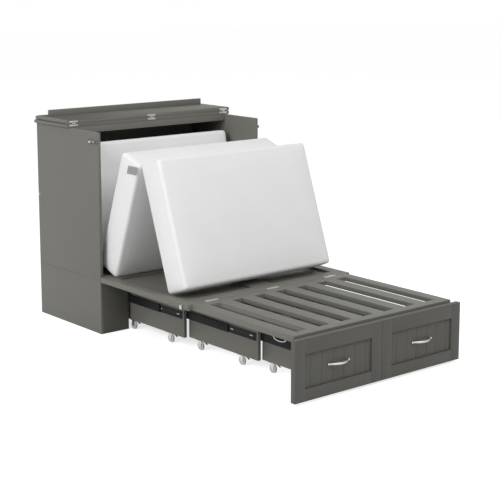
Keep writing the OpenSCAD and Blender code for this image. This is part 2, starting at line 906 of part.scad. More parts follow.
mat_last = mat_rings * mat_n;
mat_pts = concat(
  [for (i = [0 : mat_rings]) for (p = mat_outline)
    drawn(p, ring_y(i), mat_r * (1 - sin(end_turn(i))))],
  [for (s = [-1, 1]) drawn([0, 0], s * mat_w / 2, 0)]);
mat_faces = concat(
  [for (i = [0 : mat_rings - 1]) for (k = [0 : mat_n - 1])
    let (k2 = (k + 1) % mat_n, p = i * mat_n, q = p + mat_n)
    each [[p + k, q + k2, p + k2], [p + k, q + k, q + k2]]],
  [for (k = [0 : mat_n - 1]) let (k2 = (k + 1) % mat_n, m = mat_last + mat_n)
    each [[m, k, k2], [m + 1, mat_last + k2, mat_last + k]]]);

// The section turned to stand and lean; a positive lean tips its top to the foot
function stood(p, lean) = let (c = cos(lean), s = sin(lean))
  [p[1], -p[2] * c - p[0] * s, p[0] * c - p[2] * s];

// The lowest edge of a standing section is set at a distance from the front plane
module mattress_section(lean, t) {
  pts = [for (p = mat_pts) stood(p, lean)];
  z_low = min([for (p = pts) p[2]]);
  foot = lean > 0 ? 1 : -1;
  y_corner = -foot * mat_b * cos(lean) + mat_a * sin(lean);
  translate([0, yt(t) - y_corner, floor_z + soft_clear - z_low])
    polyhedron(points = pts, faces = mat_faces);
}

module mattress_back() {
  color("white") mattress_section(-lean_1_deg, -mat_1_at);
}

module mattress_middle() {
  color("white") mattress_section(lean_2_deg, mat_2_at);
}

module mattress_foot() {
  color("white") mattress_section(-lean_3_deg, mat_3_at);
}

// The strap ends along the middle section's foot side and leans with it
module mattress_tab() {
  z_mid = floor_z + mat_l * cos(lean_2_deg) - strap_set;
  zs = [z_mid - strap_h / 2, z_mid + strap_h / 2];
  ts = [for (z = zs) mat_2_at + (z - floor_z) * tan(lean_2_deg)];
  color("silver") translate([-strap_x - strap_t, yt(0), 0]) rotate([90, 0, 90])
    linear_extrude(height = strap_t)
      polygon([[-ts[0], zs[0]], [strap_l - ts[0], zs[0]], [strap_l - ts[1], zs[1]],
        [-ts[1], zs[1]]]);
}

base_left();
base_right();
base_stiles();
base_inner_walls();
base_back();
cabinet_floor();
side_left();
side_right();
back_panel();
rear_top();
top_rail();
cabinet_hinge_leaves();
base_slide_channels();
bolt_guides();
side_caps();
lid_board();
lid_strip();
lid_hinge_leaves();
front_panel_frame();
front_panel_infill();
front_panel_hinge_leaves();
bolt_keepers();
slat_panel_board();
slat_panel_hinge_leaves();
grab_loop();
section_1_frame();
section_1_slides();
section_1_fittings();
section_2_frame();
section_2_slides();
section_2_fittings();
section_3_frame();
section_3_slides();
section_3_fittings();
drawer_front_frame();
drawer_front_infill();
drawer_pulls();
slides_middle_1();
slides_middle_2();
slides_middle_3();
wheel_1_left_back();
wheel_1_right_back();
wheel_1_left_front();
wheel_1_right_front();
wheel_2_left_back();
wheel_2_right_back();
wheel_2_left_front();
wheel_2_right_front();
wheel_3_left_back();
wheel_3_right_back();
wheel_3_left_front();
wheel_3_right_front();
bolt_left();
bolt_right();
mattress_back();
mattress_middle();
mattress_foot();
mattress_tab();
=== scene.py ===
import math
import bpy
import bmesh
from mathutils import Matrix, Vector, noise


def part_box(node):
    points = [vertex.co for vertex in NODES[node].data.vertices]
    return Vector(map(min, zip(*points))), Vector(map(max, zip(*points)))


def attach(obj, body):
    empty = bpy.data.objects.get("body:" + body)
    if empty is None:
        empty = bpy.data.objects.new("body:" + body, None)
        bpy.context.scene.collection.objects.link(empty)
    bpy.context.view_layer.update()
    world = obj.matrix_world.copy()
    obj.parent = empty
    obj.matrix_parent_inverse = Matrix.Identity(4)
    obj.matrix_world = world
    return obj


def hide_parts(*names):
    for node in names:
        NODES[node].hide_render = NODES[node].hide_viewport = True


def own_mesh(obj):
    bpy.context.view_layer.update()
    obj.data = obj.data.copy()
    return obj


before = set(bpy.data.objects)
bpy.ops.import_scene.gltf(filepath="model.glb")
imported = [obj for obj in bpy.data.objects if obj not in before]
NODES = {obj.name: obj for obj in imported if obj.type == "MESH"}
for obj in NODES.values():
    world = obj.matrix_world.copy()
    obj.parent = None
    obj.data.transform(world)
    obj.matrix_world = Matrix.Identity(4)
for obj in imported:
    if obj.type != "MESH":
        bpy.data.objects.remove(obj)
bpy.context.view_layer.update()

scene = bpy.context.scene

# A cabinet bed, opened out. Lengths are in metres.


# Colours and materials

CHANNEL_MAX = 255
NO_STRETCH = (1, 1, 1)
GRAIN_ACROSS = 38.0
GRAIN_ALONG = 1.6
FUZZ_SHARE = 0.5


def linear(value):
    """One channel of a display colour, 0 to 255, as a linear value (the sRGB curve)."""
    v = value / CHANNEL_MAX
    return v / 12.92 if v <= 0.04045 else ((v + 0.055) / 1.055) ** 2.4


def rgba(colour, share=1.0):
    """A display colour times share, with linear channels and full alpha."""
    return tuple(linear(min(CHANNEL_MAX, c * share)) for c in colour) + (1.0,)


def new_material(name):
    material = bpy.data.materials.new(name)
    material.use_nodes = True
    return material, material.node_tree, material.node_tree.nodes["Principled BSDF"]


def coords(tree, scale=NO_STRETCH):
    """Object coordinates, stretched."""
    coordinates = tree.nodes.new("ShaderNodeTexCoord")
    mapping = tree.nodes.new("ShaderNodeMapping")
    mapping.inputs["Scale"].default_value = scale
    tree.links.new(coordinates.outputs["Object"], mapping.inputs["Vector"])
    return mapping.outputs["Vector"]


def noise_tex(tree, vector, scale, detail, rough=0.55):
    texture = tree.nodes.new("ShaderNodeTexNoise")
    texture.inputs["Scale"].default_value = scale
    texture.inputs["Detail"].default_value = detail
    texture.inputs["Roughness"].default_value = rough
    tree.links.new(vector, texture.inputs["Vector"])
    return texture.outputs["Fac"]


def tint(tree, bsdf, source, colour, spread):
    """Base colour between two shades of one colour, driven by a pattern."""
    ramp = tree.nodes.new("ShaderNodeValToRGB")
    low, high = ramp.color_ramp.elements
    low.position, low.color = 0.3, rgba(colour, 1 - spread)
    high.position, high.color = 0.7, rgba(colour, 1 + spread)
    tree.links.new(source, ramp.inputs["Fac"])
    tree.links.new(ramp.outputs["Color"], bsdf.inputs["Base Color"])


def roughness(tree, bsdf, source, limits):
    """Roughness between two limits, driven by a pattern."""
    scaled = tree.nodes.new("ShaderNodeMapRange")
    scaled.inputs["To Min"].default_value, scaled.inputs["To Max"].default_value = limits
    tree.links.new(source, scaled.inputs["Value"])
    tree.links.new(scaled.outputs["Result"], bsdf.inputs["Roughness"])


def bump(tree, bsdf, height, depth, strength):
    """One more layer of relief, over those that the surface has already."""
    layer = tree.nodes.new("ShaderNodeBump")
    layer.inputs["Strength"].default_value = strength
    layer.inputs["Distance"].default_value = depth
    tree.links.new(height, layer.inputs["Height"])
    normal = bsdf.inputs["Normal"]
    if normal.is_linked:
        tree.links.new(normal.links[0].from_socket, layer.inputs["Normal"])
    tree.links.new(layer.outputs["Normal"], normal)


def paint(name, colour, along):
    """Satin paint over close-grained wood; along is the grain's axis."""
    material, tree, bsdf = new_material(name)
    stretch = [GRAIN_ACROSS] * 3
    stretch["xyz".index(along)] = GRAIN_ALONG
    grain = noise_tex(tree, coords(tree, stretch), scale=6.0, detail=5.0, rough=0.6)
    cloud = noise_tex(tree, coords(tree), scale=3.2, detail=3.0)
    fine = noise_tex(tree, coords(tree), scale=900.0, detail=2.0)
    mix = tree.nodes.new("ShaderNodeMix")
    mix.data_type = "FLOAT"
    mix.inputs["Factor"].default_value = 0.5
    tree.links.new(grain, mix.inputs["A"])
    tree.links.new(cloud, mix.inputs["B"])
    tint(tree, bsdf, mix.outputs["Result"], colour, spread=0.022)
    roughness(tree, bsdf, cloud, limits=(0.44, 0.58))
    bsdf.inputs["Specular IOR Level"].default_value = 0.2
    bump(tree, bsdf, grain, depth=0.0004, strength=0.12)
    bump(tree, bsdf, fine, depth=0.0002, strength=0.1)
    return material


def metal(name, colour, rough, brush=NO_STRETCH, metallic=1.0, specular=0.5):
    """Metal with fine streaks, drawn out along the axes that brush stretches least."""
    material, tree, bsdf = new_material(name)
    streak = noise_tex(tree, coords(tree, brush), scale=260.0, detail=3.0)
    spot = noise_tex(tree, coords(tree), scale=40.0, detail=3.0)
    tint(tree, bsdf, spot, colour, spread=0.03)
    bsdf.inputs["Metallic"].default_value = metallic
    bsdf.inputs["Specular IOR Level"].default_value = specular
    roughness(tree, bsdf, streak, rough)
    bump(tree, bsdf, streak, depth=0.0001, strength=0.08)
    return material


def plastic(name, colour, rough):
    """Plastic with a faint, even grain."""
    material, tree, bsdf = new_material(name)
    spot = noise_tex(tree, coords(tree), scale=120.0, detail=3.0)
    tint(tree, bsdf, spot, colour, spread=0.025)
    roughness(tree, bsdf, spot, rough)
    bump(tree, bsdf, spot, depth=0.0002, strength=0.1)
    return material


def fabric(name, colour, sheen, weave, depth):
    """A fine knitted cover: crossed waves broken by noise. weave is their scale."""
    material, tree, bsdf = new_material(name)
    vector = coords(tree)
    crossed = tree.nodes.new("ShaderNodeMath")
    crossed.operation = "MULTIPLY_ADD"
    for i, axis in enumerate(("X", "Z", "Y")):
        wave = tree.nodes.new("ShaderNodeTexWave")
        wave.wave_type = "BANDS"
        wave.bands_direction = axis
        wave.inputs["Scale"].default_value = weave
        wave.inputs["Distortion"].default_value = 1.2
        wave.inputs["Detail"].default_value = 1.0
        tree.links.new(vector, wave.inputs["Vector"])
        tree.links.new(wave.outputs["Fac"], crossed.inputs[i])
    cloud = noise_tex(tree, vector, scale=4.0, detail=4.0)
    fuzz = noise_tex(tree, vector, scale=1400.0, detail=2.0)
    wrinkle = noise_tex(tree, coords(tree, scale=(1, 1, 0.5)), scale=9.0, detail=3.0)
    tint(tree, bsdf, cloud, colour, spread=0.008)
    bsdf.inputs["Roughness"].default_value = 0.9
    bsdf.inputs["Specular IOR Level"].default_value = 0.15
    bsdf.inputs["Sheen Weight"].default_value = sheen
    bsdf.inputs["Sheen Roughness"].default_value = 0.5
    bump(tree, bsdf, crossed.outputs[0], depth, strength=0.25)
    bump(tree, bsdf, fuzz, depth * FUZZ_SHARE, strength=0.2)
    bump(tree, bsdf, wrinkle, depth=0.003, strength=0.1)
    return material


GREY = (115, 114, 108)
# The front grey is the cabinet's grey with painted shade: boards that face the front are darkened to
# stand for the shade that falls on them.
FRONT_SHADED_GREY = (92, 91, 86)
STREAKED_XZ = (1, 30, 1)
STREAKED_Y = (30, 1, 30)
SLIDE_ROUGH = (0.42, 0.58)
PAINT_X = paint("grey_paint_across", GREY, "x")
PAINT_Y = paint("grey_paint_lengthways", GREY, "y")
PAINT_Z = paint("grey_paint_upright", GREY, "z")
FRONT_SHADED_Z = paint("front_painted_shade_upright", FRONT_SHADED_GREY, "z")
NICKEL = metal("satin_nickel", (184, 182, 177), (0.3, 0.46), STREAKED_XZ)
ZINC = metal("bright_zinc", (200, 201, 201), (0.28, 0.45))
GUN = metal("dark_guide_steel", (92, 91, 88), (0.35, 0.5))
BLACK = metal("black_slide_steel", (37, 37, 38), SLIDE_ROUGH, STREAKED_Y, metallic=0.0, specular=0.1)
# The slide web is the black slide steel made lighter: painted light for the webs that face out of the
# recess.
SLIDE_WEB_LIT = metal("slide_web_painted_light", (52, 52, 53), SLIDE_ROUGH, STREAKED_Y, metallic=0.0, specular=0.12)
WHEEL = plastic("caster_plastic", (206, 206, 204), (0.4, 0.55))
TICKING = fabric("mattress_cover", (240, 240, 240), sheen=0.12, weave=260.0, depth=0.0005)
STRAP = fabric("strap_webbing", (158, 158, 155), sheen=0.1, weave=420.0, depth=0.0008)


# Mesh helpers. The angles are in degrees.

WELD = 1e-6
BEVEL_LIMIT_SHARE = 0.3
FLAT_ANGLE = 0.5
CORNER_ANGLE = 35
BOARD_SHARP_ANGLE = 35
ROUND_SHARP_ANGLE = 40
SOFT_SHARP_ANGLE = 50


def linked(name, data):
    """A new object of the scene that carries a mesh, lamp or camera."""
    o = bpy.data.objects.new(name, data)
    scene.collection.objects.link(o)
    return o


def object_from(name, bm):
    """A new object with the mesh of bm, which is used up."""
    mesh = bpy.data.meshes.new(name)
    bm.to_mesh(mesh)
    bm.free()
    return linked(name, mesh)


def finish_piece(name, bm, material, body, replaces, sharp_angle):
    """A piece from bm, which rides on a body and stands in for the nodes it replaces."""
    o = object_from(name, bm)
    o.data.materials.append(material)
    o.data.shade_smooth()
    o.data.set_sharp_from_angle(angle=math.radians(sharp_angle))
    if replaces:
        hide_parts(*replaces)
    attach(o, body)


def box_of(points):
    """The low and high corners of the box round some points."""
    return (Vector([min(p[k] for p in points) for k in range(3)]),
            Vector([max(p[k] for p in points) for k in range(3)]))


def add_board(bm, lo, hi, ease):
    """A board with eased edges."""
    verts = bmesh.ops.create_cube(bm, size=1.0)["verts"]
    size = [hi[k] - lo[k] for k in range(3)]
    mid = [(hi[k] + lo[k]) / 2 for k in range(3)]
    for v in verts:
        v.co = Vector([mid[k] + v.co[k] * size[k] for k in range(3)])
    edges = list({e for v in verts for e in v.link_edges})
    bmesh.ops.bevel(bm, geom=edges, offset=min(ease, min(size) * BEVEL_LIMIT_SHARE),
                    segments=2, profile=0.5, affect="EDGES")


def boards(name, boxes, material, body, replaces, ease):
    """One piece made of a board for each box."""
    bm = bmesh.new()
    for lo, hi in boxes:
        add_board(bm, lo, hi, ease)
    finish_piece(name, bm, material, body, replaces, BOARD_SHARP_ANGLE)


def add_rod(bm, start, end, radius, sides=20):
    """A closed cylinder between two points."""
    start, end = Vector(start), Vector(end)
    turn = (end - start).to_track_quat("Z", "Y").to_matrix().to_4x4()
    place = Matrix.Translation((start + end) / 2) @ turn
    bmesh.ops.create_cone(bm, cap_ends=True, segments=sides, radius1=radius,
                          radius2=radius, depth=(end - start).length, matrix=place)


def join_rings(bm, here, after):
    """The faces between two rings with the same number of points."""
    for k in range(len(here)):
        m = (k + 1) % len(here)
        bm.faces.new((here[k], here[m], after[m], after[k]))


def add_turned(bm, profile, centre, sides=40):
    """A closed profile of (radius, along X) points turned round the X axis."""
    rings = []
    for i in range(sides):
        angle = 2 * math.pi * i / sides
        rings.append([bm.verts.new((centre.x + x, centre.y + r * math.cos(angle),
                                    centre.z + r * math.sin(angle))) for r, x in profile])
    for i in range(sides):
        join_rings(bm, rings[i], rings[(i + 1) % sides])


def add_tube(bm, path, radii, sides=20):
    """A tube along a path in a plane of equal Z, closed at both ends."""
    rings = []
    up = Vector((0, 0, 1))
    angles = [2 * math.pi * k / sides for k in range(sides)]
    for i, p in enumerate(path):
        ahead = path[min(i + 1, len(path) - 1)] - path[max(i - 1, 0)]
        side = Vector((-ahead.y, ahead.x, 0)).normalized()
        rings.append([bm.verts.new(p + radii[i] * (side * math.cos(a) + up * math.sin(a)))
                      for a in angles])
    for here, after in zip(rings, rings[1:]):
        join_rings(bm, here, after)
    bm.faces.new(rings[0])
    bm.faces.new(list(reversed(rings[-1])))
    bmesh.ops.recalc_face_normals(bm, faces=bm.faces)


def welded(node):
    """The node's own mesh with its doubled points joined."""
    bm = bmesh.new()
    bm.from_mesh(NODES[node].data)
    bmesh.ops.remove_doubles(bm, verts=bm.verts, dist=WELD)
    return bm


def solids_of(node):
    """Boxes of the separate solids of a node, from the loose pieces of its mesh."""
    bm = welded(node)
    seen, boxes = set(), []
    for v in bm.verts:
        if v in seen:
            continue
        seen.add(v)
        group = [v]
        for w in group:
            near = {e.other_vert(w) for e in w.link_edges} - seen
            seen |= near
            group.extend(near)
        boxes.append(box_of([w.co for w in group]))
    bm.free()
    return boxes


def baked(o):
    """The object's mesh with its modifiers applied."""
    bpy.context.view_layer.update()
    out = bpy.data.meshes.new_from_object(o.evaluated_get(bpy.context.evaluated_depsgraph_get()))
    o.modifiers.clear()
    o.data = out
    return out


def dressed(node, material, body, ease=0.001, segments=2, keep=None, second=None):
    """The node's own form with eased edges. keep picks the vertices that stay, and
    second gives another material and the faces that take it."""
    bm = welded(node)
    if keep:
        bmesh.ops.delete(bm, geom=[v for v in bm.verts if not keep(v.co)], context="VERTS")
    bmesh.ops.dissolve_limit(bm, angle_limit=math.radians(FLAT_ANGLE), verts=bm.verts,
                             edges=bm.edges)
    o = object_from(node + "_eased", bm)
    mod = o.modifiers.new("ease", "BEVEL")
    mod.width = ease
    mod.segments = segments
    mod.limit_method = "ANGLE"
    mod.angle_limit = math.radians(CORNER_ANGLE)
    mod.use_clamp_overlap = True
    mesh = baked(o)
    mesh.materials.clear()
    mesh.materials.append(material)
    if second:
        second_material, takes_second = second
        mesh.materials.append(second_material)
        for p in mesh.polygons:
            p.material_index = int(takes_second(p.center))
    mesh.shade_smooth()
    mesh.set_sharp_from_angle(angle=math.radians(SOFT_SHARP_ANGLE))
    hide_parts(node)
    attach(o, body)
    return o


def keep_node(node, material):
    """The node's own mesh stays, with another material."""
    mesh = NODES[node].data
    mesh.materials.clear()
    mesh.materials.append(material)
    for p in mesh.polygons:
        p.material_index = 0


# Cabinet and lid

CABINET_EASE = 0.0018
BOARD_EASE = 0.0012
STRIP_EASE = 0.0015
# The base stiles take the front paint, darkened by painted shade.
for node, coat in (("base_left", PAINT_Y), ("base_right", PAINT_Y), ("side_left", PAINT_Z),
                  ("side_right", PAINT_Z), ("base_stiles", FRONT_SHADED_Z), ("back_panel", PAINT_X),
                  ("base_inner_walls", PAINT_Y), ("base_back", PAINT_X), ("top_rail", PAINT_X)):
    boards(node + "_boards", solids_of(node), coat, "cabinet", [node], CABINET_EASE)
dressed("cabinet_floor", PAINT_X, "cabinet")
dressed("rear_top", PAINT_X, "cabinet", BOARD_EASE)
dressed("lid_board", PAINT_X, "lid", BOARD_EASE)
boards("lid_strip_board", solids_of("lid_strip"), PAINT_X, "lid", ["lid_strip"], STRIP_EASE)

# Fold-out panels

SLAT_EASE = 0.003
SLAT_SEGMENTS = 3
PANEL_FRAME_EASE = 0.0014
PANEL_INFILL_EASE = 0.0005
dressed("slat_panel_board", PAINT_Y, "slat_panel", SLAT_EASE, SLAT_SEGMENTS)
dressed("front_panel_frame", PAINT_X, "front_panel", PANEL_FRAME_EASE)
dressed("front_panel_infill", PAINT_Y, "front_panel", PANEL_INFILL_EASE)

# Rolling sections: raised lines run along the web of each inner slide member

STEEL_EASE = 0.0004
WEB_T = 0.0015
LINE_SINK = 0.0001
LINE_OUT = 0.0011
LINE_H = 0.0034
LINE_EASE = 0.0006
LINE_END_GAP = 0.004
LINE_FROM_MID = 0.0075


def slide_lines(body):
    """Boxes of two lines on each web outside the rails; the channels inside have none."""
    rail_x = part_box(body + "_frame")[1].x
    near_x = rail_x + WEB_T - LINE_SINK
    far_x = rail_x + WEB_T + LINE_OUT
    lines = []
    for lo, hi in solids_of(body + "_slides"):
        if max(abs(lo.x), abs(hi.x)) < rail_x:
            continue
        x_lo, x_hi = (near_x, far_x) if hi.x > 0 else (-far_x, -near_x)
        for z in ((lo.z + hi.z) / 2 - LINE_FROM_MID, (lo.z + hi.z) / 2 + LINE_FROM_MID):
            lines.append(((x_lo, lo.y + LINE_END_GAP, z - LINE_H / 2),
                          (x_hi, hi.y - LINE_END_GAP, z + LINE_H / 2)))
    return lines


for k in (1, 2, 3):
    body = "section_%d" % k
    dressed(body + "_frame", PAINT_Y, body, BOARD_EASE)
    # The inner members' webs take the lightened slide steel, which carries painted light.
    dressed(body + "_slides", SLIDE_WEB_LIT, body, STEEL_EASE)
    dressed(body + "_fittings", ZINC, body, STEEL_EASE)
    dressed("slides_middle_%d" % k, BLACK, "middle_%d" % k, STEEL_EASE)
    boards(body + "_slide_lines", slide_lines(body), BLACK, body, [], LINE_EASE)
dressed("base_slide_channels", BLACK, "cabinet", STEEL_EASE)

# Casters: turned wheels with ribs between hub and tyre, and a groove round the tyre

BORE_R = 0.0031
HUB_R = 0.0076
HUB_HALF = 0.0056
HUB_SLOPE = 0.0006
WEB_HALF = 0.0034
RIM_R = 0.0166
RIM_SLOPE = 0.0008
TYRE_R = 0.023
TYRE_HALF = 0.006
SHOULDER_IN = 0.0014
SHOULDER_ALONG = 0.0016
GROOVE_HALF = 0.0007
GROOVE_DEEP = 0.0007
HALF_PROFILE = [(BORE_R, HUB_HALF), (HUB_R, HUB_HALF), (HUB_R + HUB_SLOPE, WEB_HALF),
                (RIM_R, WEB_HALF), (RIM_R + RIM_SLOPE, TYRE_HALF),
                (TYRE_R - SHOULDER_IN, TYRE_HALF), (TYRE_R, TYRE_HALF - SHOULDER_ALONG),
                (TYRE_R, GROOVE_HALF)]
WHEEL_PROFILE = ([(r, -x) for r, x in HALF_PROFILE] + [(TYRE_R - GROOVE_DEEP, 0.0)]
                 + list(reversed(HALF_PROFILE)))
RIBS = 9
RIB_R = 0.0014
RIB_SIDES = 8
RIB_FROM = 0.0078
RIB_TO = 0.017
RIB_OFF_MID = 0.0025


def turned_wheel(node):
    """A wheel turned about the middle of its node, with ribs on both faces of its web."""
    lo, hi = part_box(node)
    mid = (lo + hi) / 2
    bm = bmesh.new()
    add_turned(bm, WHEEL_PROFILE, mid)
    for i in range(RIBS):
        angle = 2 * math.pi * i / RIBS
        arm = Vector((0, math.cos(angle), math.sin(angle)))
        for x in (-RIB_OFF_MID, RIB_OFF_MID):
            hub = mid + Vector((x, 0, 0))
            add_rod(bm, hub + arm * RIB_FROM, hub + arm * RIB_TO, RIB_R, RIB_SIDES)
    bmesh.ops.recalc_face_normals(bm, faces=bm.faces)
    finish_piece(node + "_turned", bm, WHEEL, node, [node], ROUND_SHARP_ANGLE)


for k in (1, 2, 3):
    for side in ("left", "right"):
        for end in ("back", "front"):
            turned_wheel("wheel_%d_%s_%s" % (k, side, end))

# Drawer front: rails and stiles round the beadboard fields, and a seam down its middle

SEAM_HALF = 0.0009
MID_HALF = 0.067
STILE_W = 0.062
FRAME_EASE = 0.0005
DRAWER_INFILL_EASE = 0.0006
front_lo, front_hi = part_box("drawer_front_frame")
field_lo, field_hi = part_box("drawer_front_infill")


def front_board(x_a, x_b, z_lo, z_hi):
    """A board as thick as the drawer front, between two places along X."""
    return (min(x_a, x_b), front_lo.y, z_lo), (max(x_a, x_b), front_hi.y, z_hi)


rails, stiles = [], []
for side in (-1, 1):
    field_end = side * (front_hi.x - STILE_W)
    stiles.append(front_board(side * front_hi.x, field_end, front_lo.z, front_hi.z))
    stiles.append(front_board(side * SEAM_HALF, side * MID_HALF, front_lo.z, front_hi.z))
    rails.append(front_board(side * MID_HALF, field_end, front_lo.z, field_lo.z))
    rails.append(front_board(side * MID_HALF, field_end, field_hi.z, front_hi.z))
# The drawer front's boards take the front paint, darkened by painted shade.
boards("drawer_front_rails", rails, FRONT_SHADED_Z, "section_3", ["drawer_front_frame"], FRAME_EASE)
boards("drawer_front_stiles", stiles, FRONT_SHADED_Z, "section_3", ["drawer_front_frame"], FRAME_EASE)
dressed("drawer_front_infill", FRONT_SHADED_Z, "section_3", DRAWER_INFILL_EASE)

# Pulls: an arched bar, thickest at its middle, on small rounded feet

PULL_SPACING = 0.128
PULL_END = 0.005
PULL_R = 0.0062
PULL_TAPER_SHARE = 0.36
BOW_POWER = 1.9
PULL_STEPS = 48
FOOT_R = 0.0062
FOOT_FLAT_SHARE = 0.8
FOOT_OUT = 0.004
pull_lo, pull_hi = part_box("drawer_pulls")
pull_face_y = pull_hi.y
bar_y = pull_lo.y + PULL_R
pull_z = (pull_lo.z + pull_hi.z) / 2


def add_pull(bm, mid_x):
    """One pull: u runs from -1 to 1 along its bar, which stands out most where u is 0."""
    path, radii = [], []
    for i in range(PULL_STEPS + 1):
        u = i / PULL_STEPS * 2 - 1
        rise = 1 - abs(u) ** BOW_POWER
        path.append(Vector((mid_x + u * PULL_SPACING / 2,
                            pull_face_y + (bar_y - pull_face_y) * rise, pull_z)))
        radii.append(PULL_R * (1 - PULL_TAPER_SHARE * u * u))
    add_tube(bm, path, radii)
    for end in (-1, 1):
        foot = Vector((mid_x + end * PULL_SPACING / 2, pull_face_y, pull_z))
        ball = bmesh.ops.create_uvsphere(bm, u_segments=20, v_segments=12, radius=FOOT_R)
        for v in ball["verts"]:
            v.co = foot + Vector((v.co.x, v.co.y * FOOT_FLAT_SHARE - FOOT_OUT, v.co.z))


bm = bmesh.new()
for side in (-1, 1):
    add_pull(bm, side * (pull_hi.x - PULL_END - PULL_SPACING / 2))
finish_piece("drawer_pull_bars", bm, NICKEL, "section_3", ["drawer_pulls"], SOFT_SHARP_ANGLE)

# Lid hinges: two plates joined by a narrow barrel. The cabinet's other leaves are lower down.

LID_HINGES_ABOVE = 0.9
BARREL_HALF = 0.011
BARREL_GAP = 0.0002
PLATE_T = 0.0011
PLATE_EASE = 0.0005
PLATE_FROM_PIN = 0.0042
FACE_BEHIND_PIN = 0.0016
NECK_OVERLAP = 0.001
NECK_EASE = 0.0002
SCREW_X = 0.019
SCREW_R = 0.0024
SCREW_OUT = 0.0004
SCREW_SIDES = 16


def lid_leaf(bm, lo, hi, upper):
    """One leaf on the front edge of its board; the barrel's middle part is the upper leaf's."""
    mid_x = (lo.x + hi.x) / 2
    pin_y = (lo.y + hi.y) / 2
    radius = (hi.y - lo.y) / 2
    back = pin_y + FACE_BEHIND_PIN
    front = back - PLATE_T
    third = BARREL_HALF / 3
    if upper:
        pin_z = lo.z + radius
        z_lo, z_hi = pin_z + PLATE_FROM_PIN, hi.z
        neck_lo, neck_hi = pin_z, z_lo + NECK_OVERLAP
        barrels = [(-third + BARREL_GAP, third - BARREL_GAP)]
    else:
        pin_z = hi.z - radius
        z_lo, z_hi = lo.z, pin_z - PLATE_FROM_PIN
        neck_lo, neck_hi = z_hi - NECK_OVERLAP, pin_z
        barrels = [(-BARREL_HALF, -third), (third, BARREL_HALF)]
    add_board(bm, (lo.x, front, z_lo), (hi.x, back, z_hi), PLATE_EASE)
    for x0, x1 in barrels:
        add_rod(bm, (mid_x + x0, pin_y, pin_z), (mid_x + x1, pin_y, pin_z), radius)
        add_board(bm, (mid_x + x0, front, neck_lo), (mid_x + x1, back, neck_hi), NECK_EASE)
    screw_z = (z_lo + z_hi) / 2
    for x in (mid_x - SCREW_X, mid_x + SCREW_X):
        add_rod(bm, (x, front - SCREW_OUT, screw_z), (x, back, screw_z), SCREW_R, SCREW_SIDES)


for node, body, upper in (("cabinet_hinge_leaves", "cabinet", False),
                          ("lid_hinge_leaves", "lid", True)):
    bm = bmesh.new()
    for lo, hi in solids_of(node):
        if lo.z > LID_HINGES_ABOVE:
            lid_leaf(bm, lo, hi, upper)
    finish_piece(node + "_plates", bm, NICKEL, body, [node], ROUND_SHARP_ANGLE)

# Other hardware. The flat plate under each bolt's guides is painted like its panel.

LEAF_EASE = 0.0003
KEEPER_EASE = 0.0005
GUIDE_PLATE_OUT = 0.0021
plate_x = GUIDE_PLATE_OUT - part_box("side_left")[0].x
dressed("cabinet_hinge_leaves", NICKEL, "cabinet", LEAF_EASE,
        keep=lambda p: p.z < LID_HINGES_ABOVE)
dressed("side_caps", NICKEL, "cabinet", LEAF_EASE)
dressed("bolt_guides", GUN, "cabinet", LEAF_EASE, second=(PAINT_Z, lambda p: abs(p.x) < plate_x))
dressed("front_panel_hinge_leaves", NICKEL, "front_panel", LEAF_EASE)
dressed("bolt_keepers", NICKEL, "front_panel", KEEPER_EASE)
dressed("slat_panel_hinge_leaves", NICKEL, "slat_panel", LEAF_EASE)
keep_node("grab_loop", ZINC)
keep_node("bolt_left", NICKEL)
keep_node("bolt_right", NICKEL)

# Mattress: foam blocks in a fitted cover, puffed once by a short cloth simulation

EDGE_R = 0.019
EDGE_SEGMENTS = 4
SLACK = (0.003, 0.0035, 0.001)
VOXEL = 0.006
CLOTH_STEPS = 20
PUFF = 0.0035
EDGE_PUFF_SHARE = 0.2
EDGE_REACH = 0.08
WAVE_HEIGHT = 0.0014
WAVE_SCALE = 7.0
WAVE_FADE_POWER = 6
STRAP_EASE = 0.0004


def lean_of(node):
    """How far the block leans, from the spread of its points along Y and Z."""
    points = [v.co for v in NODES[node].data.vertices]
    mid = sum(points, Vector()) / len(points)
    yy = sum((p.y - mid.y) ** 2 for p in points)
    zz = sum((p.z - mid.z) ** 2 for p in points)
    yz = sum((p.y - mid.y) * (p.z - mid.z) for p in points)
    return -0.5 * math.atan2(2 * yz, zz - yy)


def own_axes(node):
    """The block's size, its middle and its turn: X across, Y through its thickness, Z along."""
    turn = Matrix.Rotation(lean_of(node), 4, "X")
    back = turn.inverted()
    lo, hi = box_of([back @ v.co for v in NODES[node].data.vertices])
    return hi - lo, turn @ ((lo + hi) / 2), turn


def run_cloth(o):
    """The block's mesh after its cover is blown up a little."""
    cloth = o.modifiers.new("cloth", "CLOTH")
    settings = cloth.settings
    settings.quality = 4
    settings.mass = 0.3
    settings.tension_stiffness = 60
    settings.compression_stiffness = 60
    settings.shear_stiffness = 20
    settings.bending_stiffness = 1.5
    settings.use_pressure = True
    settings.uniform_pressure_force = 4.0
    settings.effector_weights.gravity = 0.0
    cloth.collision_settings.use_collision = False
    cloth.point_cache.frame_start = 1
    cloth.point_cache.frame_end = CLOTH_STEPS
    for step in range(1, CLOTH_STEPS + 1):
        scene.frame_set(step)
    return baked(o)


